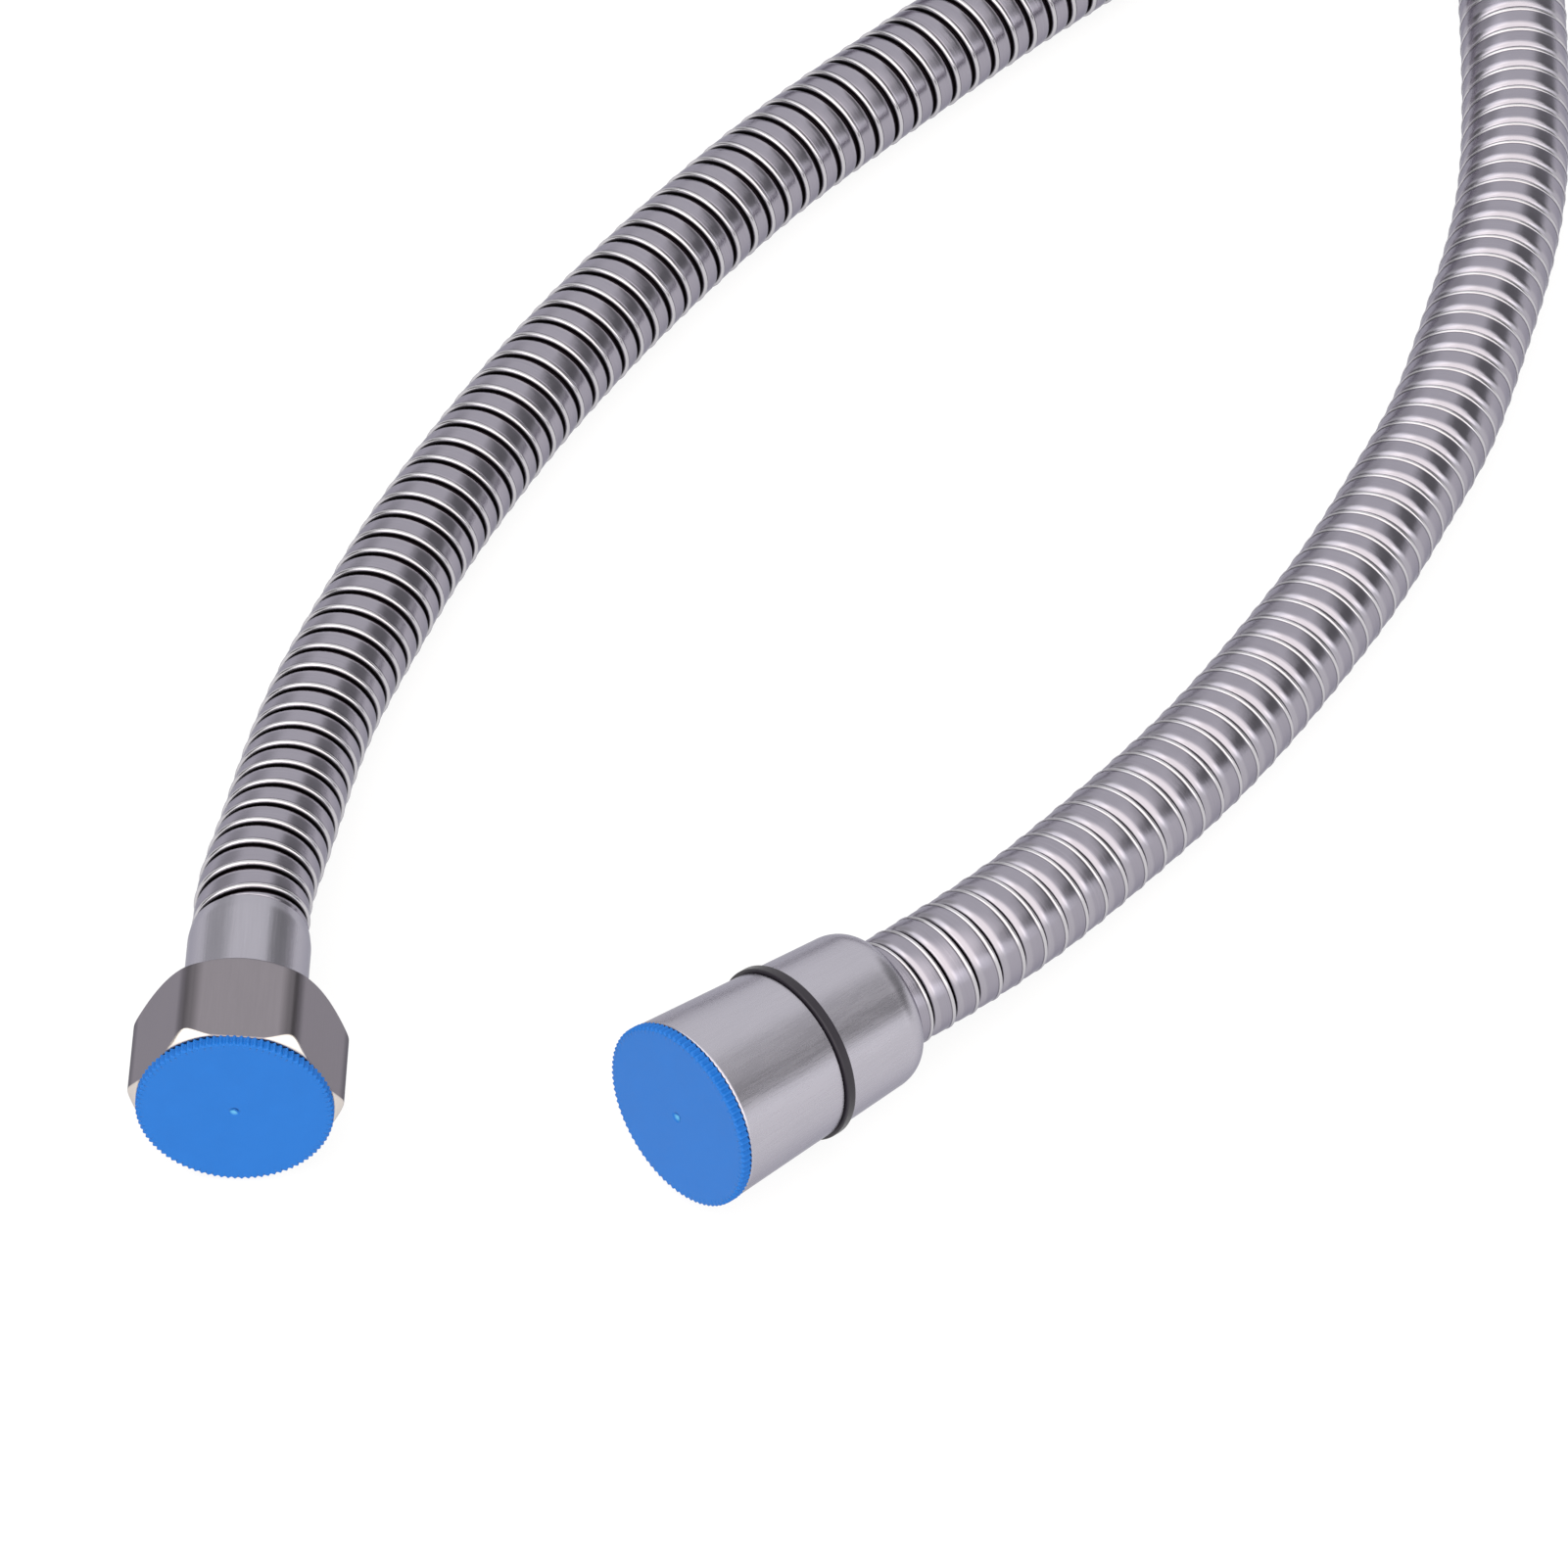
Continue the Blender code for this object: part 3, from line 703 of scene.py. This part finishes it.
def softLess(first, second, soft):
    # the smaller of two radii, rounded where they cross: mean - sqrt(difference^2 / 4 + soft^2)
    return 0.5 * (first + second) - np.sqrt(0.25 * (first - second) ** 2 + soft ** 2)


def hexAngles(values):
    # angles packed towards the six corners: u - 0.92 sin(2 pi u) / (2 pi) on every side
    share = np.arange(values["perSide"]) / values["perSide"]
    packed = share - 0.92 * np.sin(2.0 * np.pi * share) / (2.0 * np.pi)
    start = math.radians(90.0 + values["roll"] - 30.0)
    return (start + np.radians(60.0) * (np.arange(6)[:, None] + packed[None, :])).ravel()


def hexRadius(angles, values):
    # half the width over flats, divided by a soft maximum of the six plane cosines
    normals = np.radians(90.0 + values["roll"] + 60.0 * np.arange(6))
    cosines = np.cos(angles[:, None] - normals[None, :])
    soft = values["cornerSoft"]
    return 0.5 * values["acrossFlats"] / (soft * np.log(np.exp(cosines / soft).sum(axis=1)))


def makeHexNut(values, thread):
    # r is the soft smaller of the flats' radius and two 45 degree cones; the outline goes from the
    # rear face up the outer wall, over the mouth and back down the threaded bore
    angles = hexAngles(values)
    flat = hexRadius(angles, values)[:, None]
    rear = -values["length"]
    rearCone = rear + values["widestRing"] - values["rearRing"]
    frontCone = values["frontRing"] - values["widestRing"]
    # outer wall: the smaller of the flats and two cones, with its heights packed on the cones
    stretches = [(rear + 0.5, rear + 1.0, 4), (rear + 1.0, rearCone, 26), (rearCone, frontCone, 10)]
    coneHeights = np.concatenate([np.linspace(*stretch, endpoint=False) for stretch in stretches]
                                 + [np.linspace(frontCone, -values["frontEdge"], 18)])
    cone = np.minimum(values["rearRing"] + coneHeights - rear, values["frontRing"] - coneHeights)
    wall = softLess(flat, cone[None, :], values["edgeSoft"])
    # front edge: the wall pulled in by r (1 - cos t) while it climbs by r sin t
    turn = np.linspace(0.0, 0.5 * np.pi, 6)[1:]
    edgeHeight = -values["frontEdge"] + values["frontEdge"] * np.sin(turn)
    edge = softLess(flat, (values["frontRing"] - edgeHeight)[None, :], values["edgeSoft"])
    edge = edge - values["frontEdge"] * (1.0 - np.cos(turn))[None, :]
    mouth = thread["major"] + thread["mouthChamfer"]
    inward = np.array([0.06, 0.35, 0.85])
    face = edge[:, -1:] * (1.0 - inward) + (mouth + 0.1) * inward
    threads, threadHeights = threadBlock(thread, angles)
    lip = np.array([(mouth + 0.04, 0.0), (mouth - 0.04, -0.04),
                    (thread["major"] + 0.02, -thread["mouthChamfer"])])
    below = roundedOutline(boreBelowThread(thread, rear))
    rearSteps = np.array([(-0.5, 0.0), (-0.14, 0.0), (-0.04, 0.02), (0.05, 0.09), (0.18, 0.20)])
    rearFace = rearSteps + (values["rearRing"], rear)
    ones = np.ones((len(angles), 1))
    radii = np.hstack([ones * rearFace[:, 0], wall, edge, face,
                       ones * lip[:, 0], threads, ones * below[:, 0]])
    flatFace = np.zeros((len(angles), len(inward)))
    heights = np.hstack([ones * rearFace[:, 1], ones * coneHeights, ones * edgeHeight, flatFace,
                         ones * lip[:, 1], threadHeights, ones * below[:, 1]])
    nut = spin("hexNut", hexFrame, angles, radii, heights, finishes["hexNut"])
    return finishPiece(nut, "hex_swivel", "hex_nut")


roundValues = {
    "front": 12.3, "taper": 3.25, "length": 31.7, "segments": 256, "grooveCentre": -17.2, "grooveHalf": 0.82,
    "grooveFloor": 10.5, "rearLand": 8.8, "rearDepth": 3.2, "frontEdge": 0.28, "grooveEdge": 0.10,
}


def coneRadius(height, values):
    return values["front"] + height * math.tan(math.radians(values["taper"]))


def makeRoundNut(values, thread):
    # a quarter ellipse at the rear, then the tapered wall with its groove, the mouth and the bore
    angles = fullTurn(values["segments"])
    rear = -values["length"]
    start = rear + values["rearDepth"]
    turn = np.linspace(-0.5 * np.pi, 0.0, 14)
    rim = coneRadius(start, values) - values["rearLand"]
    rearCurve = np.column_stack([values["rearLand"] + rim * np.cos(turn),
                                 start + values["rearDepth"] * np.sin(turn)])
    low, high = values["grooveCentre"] - values["grooveHalf"], values["grooveCentre"] + values["grooveHalf"]
    edge = values["grooveEdge"]
    mouth = thread["major"] + thread["mouthChamfer"]
    outside = roundedOutline([
        (coneRadius(start + 0.6, values), start + 0.6, 0.0), (coneRadius(low, values), low, edge),
        (values["grooveFloor"], low, edge), (values["grooveFloor"], high, edge),
        (coneRadius(high, values), high, edge), (coneRadius(0.0, values), 0.0, values["frontEdge"]),
        (mouth, 0.0, 0.08), (thread["major"], -thread["mouthChamfer"], 0.0),
    ])
    threads, threadHeights = threadBlock(thread, angles)
    below = roundedOutline(boreBelowThread(thread, rear))
    ones = np.ones((len(angles), 1))
    radii = np.hstack([ones * rearCurve[:, 0], ones * outside[:, 0], threads, ones * below[:, 0]])
    heights = np.hstack([ones * rearCurve[:, 1], ones * outside[:, 1], threadHeights, ones * below[:, 1]])
    nut = spin("roundNut", roundFrame, angles, radii, heights, finishes["nut"])
    finishPiece(nut, "round_swivel", "round_nut")


nutBandValues = {"inside": 10.70, "outside": 11.85, "half": 0.66, "innerEdge": 0.1, "outerEdge": 0.2}


def makeNutBand(values, nut):
    # a flat ring with soft edges, in the middle of the nut's groove
    rear, front = nut["grooveCentre"] - values["half"], nut["grooveCentre"] + values["half"]
    loop = roundedOutline([
        (values["inside"], rear, values["innerEdge"]), (values["outside"], rear, values["outerEdge"]),
        (values["outside"], front, values["outerEdge"]), (values["inside"], front, values["innerEdge"]),
    ])
    band = spin("nutBand", roundFrame, fullTurn(nut["segments"]), loop[:, 0], loop[:, 1], finishes["band"])
    finishPiece(band, "round_swivel", "nut_band")


makeHexNut(hexValues, threadValues)
makeRoundNut(roundValues, threadValues)
makeNutBand(nutBandValues, roundValues)
print("nuts turned")

# Caps

capValues = {
    "rim": 12.4, "flatFrom": 1.1, "back": 0.06, "front": 1.5, "edge": 0.34,
    "teeth": 90, "toothDepth": 0.36, "perTooth": 8, "rimFade": 0.12,
    "spigot": 9.0155, "wall": 1.3, "spigotEnd": -5.5, "tip": 0.6, "gate": 0.75, "gateDepth": 0.50,
}


def makeCap(name, fitting, values, body, node):
    # the rim's radius less depth ((1 - cos(teeth a)) / 2)^0.8, a little shallower at the front edge
    angles = fullTurn(values["teeth"] * values["perTooth"])
    inner = values["spigot"] - values["wall"]
    front, back = values["front"], values["back"]
    rim, spigot, end = values["rim"], values["spigot"], values["spigotEnd"]
    pitFloor = front - values["gateDepth"]
    outline = roundedOutline([
        (0.0, back + 0.5, 0.0), (inner - 0.6, back + 0.5, 0.0), (inner, back, 0.3), (inner, end, 0.12),
        (spigot - 0.45, end, 0.12), (spigot, end + values["tip"], 0.2), (spigot, back, 0.1),
        (rim, back, 0.12), (rim, front, values["edge"]), (rim - values["flatFrom"], front, 0.0),
        (values["gate"], front, 0.12), (0.12, pitFloor, 0.08), (0.0, pitFloor, 0.0),
    ])
    radius, height = outline[:, 0], outline[:, 1]
    onRim = smoothStep(radius, rim - 0.55, rim - 0.15)
    onRim = onRim * (1.0 - values["rimFade"] * smoothStep(height, front - 0.45, front - 0.05))
    cut = (0.5 - 0.5 * np.cos(values["teeth"] * angles)) ** 0.8
    radii = radius[None, :] - values["toothDepth"] * cut[:, None] * onRim[None, :]
    heights = np.broadcast_to(height, radii.shape)
    cap = spin(name, fitting, angles, radii, heights, finishes["cap"], ringClosed=False)
    return finishPiece(cap, body, node)


makeCap("hexEndCap", hexFrame, capValues, "hex_cap", "hex_end_cap")
makeCap("roundEndCap", roundFrame, capValues, "round_cap", "round_end_cap")
print("caps moulded")

# Ferrules, tails, inner tube ends and washers

insideValues = {
    "segments": 96, "ferruleSegments": 160,
    # corners as (radius, height, rounding)
    "ferrule": [(6.70, -29.2, 0.10), (7.40, -29.2, 0.14), (7.62, -28.9, 0.10), (7.85, -27.2, 0.50),
                (7.85, -12.4, 0.15), (6.70, -12.4, 0.10)],
    "tailRear": [(3.6, -26.2, 0.1), (4.15, -26.2, 0.1)],
    "tailFlange": [(4.3, -12.1, 0.15), (9.0155, -12.1, 0.15), (9.0155, -10.3, 0.15), (3.6, -10.3, 0.2)],
    "liner": [(5.1, -29.2, 0.1), (6.4, -29.2, 0.1), (6.4, -12.4, 0.2), (5.1, -12.4, 0.2)],
    "washer": [(5.2, -10.0, 0.2), (9.0155, -10.0, 0.2), (9.0155, -8.0, 0.2), (5.2, -8.0, 0.2)],
    # each barb climbs from the shank to its crest and drops off in front of it
    "crests": (-23.2, -20.2, -17.2, -14.2), "barb": [(4.3, -2.4, 0.0), (4.8, 0.0, 0.06), (4.32, 0.12, 0.04)],
}


def makeInside(prefix, fitting, swivel, values):
    # four turned pieces on the nut's own axis
    barbs = [(r, crest + z, size) for crest in values["crests"] for r, z, size in values["barb"]]
    tail = values["tailRear"] + barbs + values["tailFlange"]
    around = values["segments"]
    pieces = [
        ("Ferrule", values["ferrule"], values["ferruleSegments"], "ferrule", "root", "fitting_steel"),
        ("Tail", tail, around, "brass", "root", "tail_brass"),
        ("Liner", values["liner"], around, "rubber", "root", "liner_rubber"),
        ("Washer", values["washer"], around, "seal", swivel, "seal_rubber"),
    ]
    for part, corners, segments, finish, body, slotName in pieces:
        loop = roundedOutline(corners)
        radii, heights = loop[:, 0], loop[:, 1]
        turned = spin(prefix + "End" + part, fitting, fullTurn(segments), radii, heights, finishes[finish])
        finishPiece(turned, body, f"{prefix}_end_{part.lower()}")


makeInside("hex", hexFrame, "hex_swivel", insideValues)
makeInside("round", roundFrame, "round_swivel", insideValues)
print("inner parts set")

# Floor and light

floorValues = {
    "half": 3.0, "colour": (0.15, 0.15, 0.15, 1.0), "glowColour": (1.0, 1.0, 1.0, 1.0), "glow": 0.86,
}


def layFloor(values):
    half = values["half"]
    mesh = bpy.data.meshes.new("floor")
    mesh.from_pydata([(-half, -half, 0.0), (half, -half, 0.0), (half, half, 0.0), (-half, half, 0.0)], [],
                     [(0, 1, 2, 3)])
    material, paint = newPaint("paleFloor")
    paint.surface({"Base Color": values["colour"], "Roughness": 0.9, "Specular IOR Level": 0.1,
                   "Emission Color": values["glowColour"], "Emission Strength": values["glow"]})
    mesh.materials.append(material)
    floor = bpy.data.objects.new("floor", mesh)
    bpy.context.scene.collection.objects.link(floor)


studioValues = {
    # azimuth from +X, elevation, full to and gone by in degrees off it, and radiance added
    "plain": 1.05, "keyColour": (1.0, 0.962, 0.915, 1.0),
    "glows": [(-90.0, 52.0, 30.0, 66.0, 1.15), (-24.0, 10.0, 8.0, 18.0, 0.45),
              (-132.0, 28.0, 12.0, 24.0, 0.8), (-40.0, 20.0, 7.0, 15.0, 1.0), (166.0, 54.0, 14.0, 28.0, 0.8)],
    # the same, with the share of the light held back; the deepest of them counts
    "shades": [(6.0, 22.0, 12.0, 17.0, 0.78), (24.0, 26.0, 15.0, 21.0, 0.74),
               (44.0, 18.0, 11.0, 20.0, 0.66), (34.0, 36.0, 8.0, 16.0, 0.50),
               (8.0, 2.0, 6.0, 16.0, 0.40), (43.0, 0.0, 6.0, 18.0, 0.45), (130.0, 18.0, 8.0, 26.0, 0.40),
               (176.0, 4.0, 18.0, 30.0, 0.80), (-160.0, 0.0, 10.0, 20.0, 0.70)],
}


def skyPatch(paint, way, azimuth, elevation, full, gone, amount):
    # amount inside the first angle off the given direction, then a smooth fall to nothing
    flat = math.cos(math.radians(elevation))
    axis = (flat * math.cos(math.radians(azimuth)), flat * math.sin(math.radians(azimuth)),
            math.sin(math.radians(elevation)))
    facing = paint.node("ShaderNodeVectorMath", {"operation": "DOT_PRODUCT"}, {0: way, 1: axis}, 1)
    return paint.node("ShaderNodeMapRange", {"interpolation_type": "SMOOTHSTEP"}, {
        0: facing, 1: math.cos(math.radians(gone)), 2: math.cos(math.radians(full)), 3: 0.0, 4: amount})


def lightStudio(values):
    # radiance = (plain + the sum of the glows) x (1 - the deepest shade)
    world = bpy.data.worlds.new("studio")
    world.use_nodes = True
    bpy.context.scene.world = world
    paint = Paint(world.node_tree)
    way = paint.node("ShaderNodeTexCoord", {}, {})
    glows = [skyPatch(paint, way, *glow) for glow in values["glows"]]
    level = glows[0] + values["plain"]
    for glow in glows[1:]:
        level = level + glow
    shade = skyPatch(paint, way, *values["shades"][0])
    for place in values["shades"][1:]:
        shade = shade.atLeast(skyPatch(paint, way, *place))
    level = level * (1.0 - shade)
    tint = paint.mix(glows[0] / values["glows"][0][4], (1.0, 1.0, 1.0, 1.0), values["keyColour"])
    toCamera = paint.node("ShaderNodeLightPath", {}, {})
    lit = paint.node("ShaderNodeBackground", {}, {"Color": tint, "Strength": level})
    white = paint.node("ShaderNodeBackground", {}, {"Color": (1.0, 1.0, 1.0, 1.0), "Strength": 1.0})
    both = paint.node("ShaderNodeMixShader", {}, {0: toCamera, 1: lit, 2: white})
    paint.node("ShaderNodeOutputWorld", {}, {0: both})


layFloor(floorValues)
lightStudio(studioValues)
bpy.context.scene.view_settings.view_transform = "Standard"
print("floor and light ready")
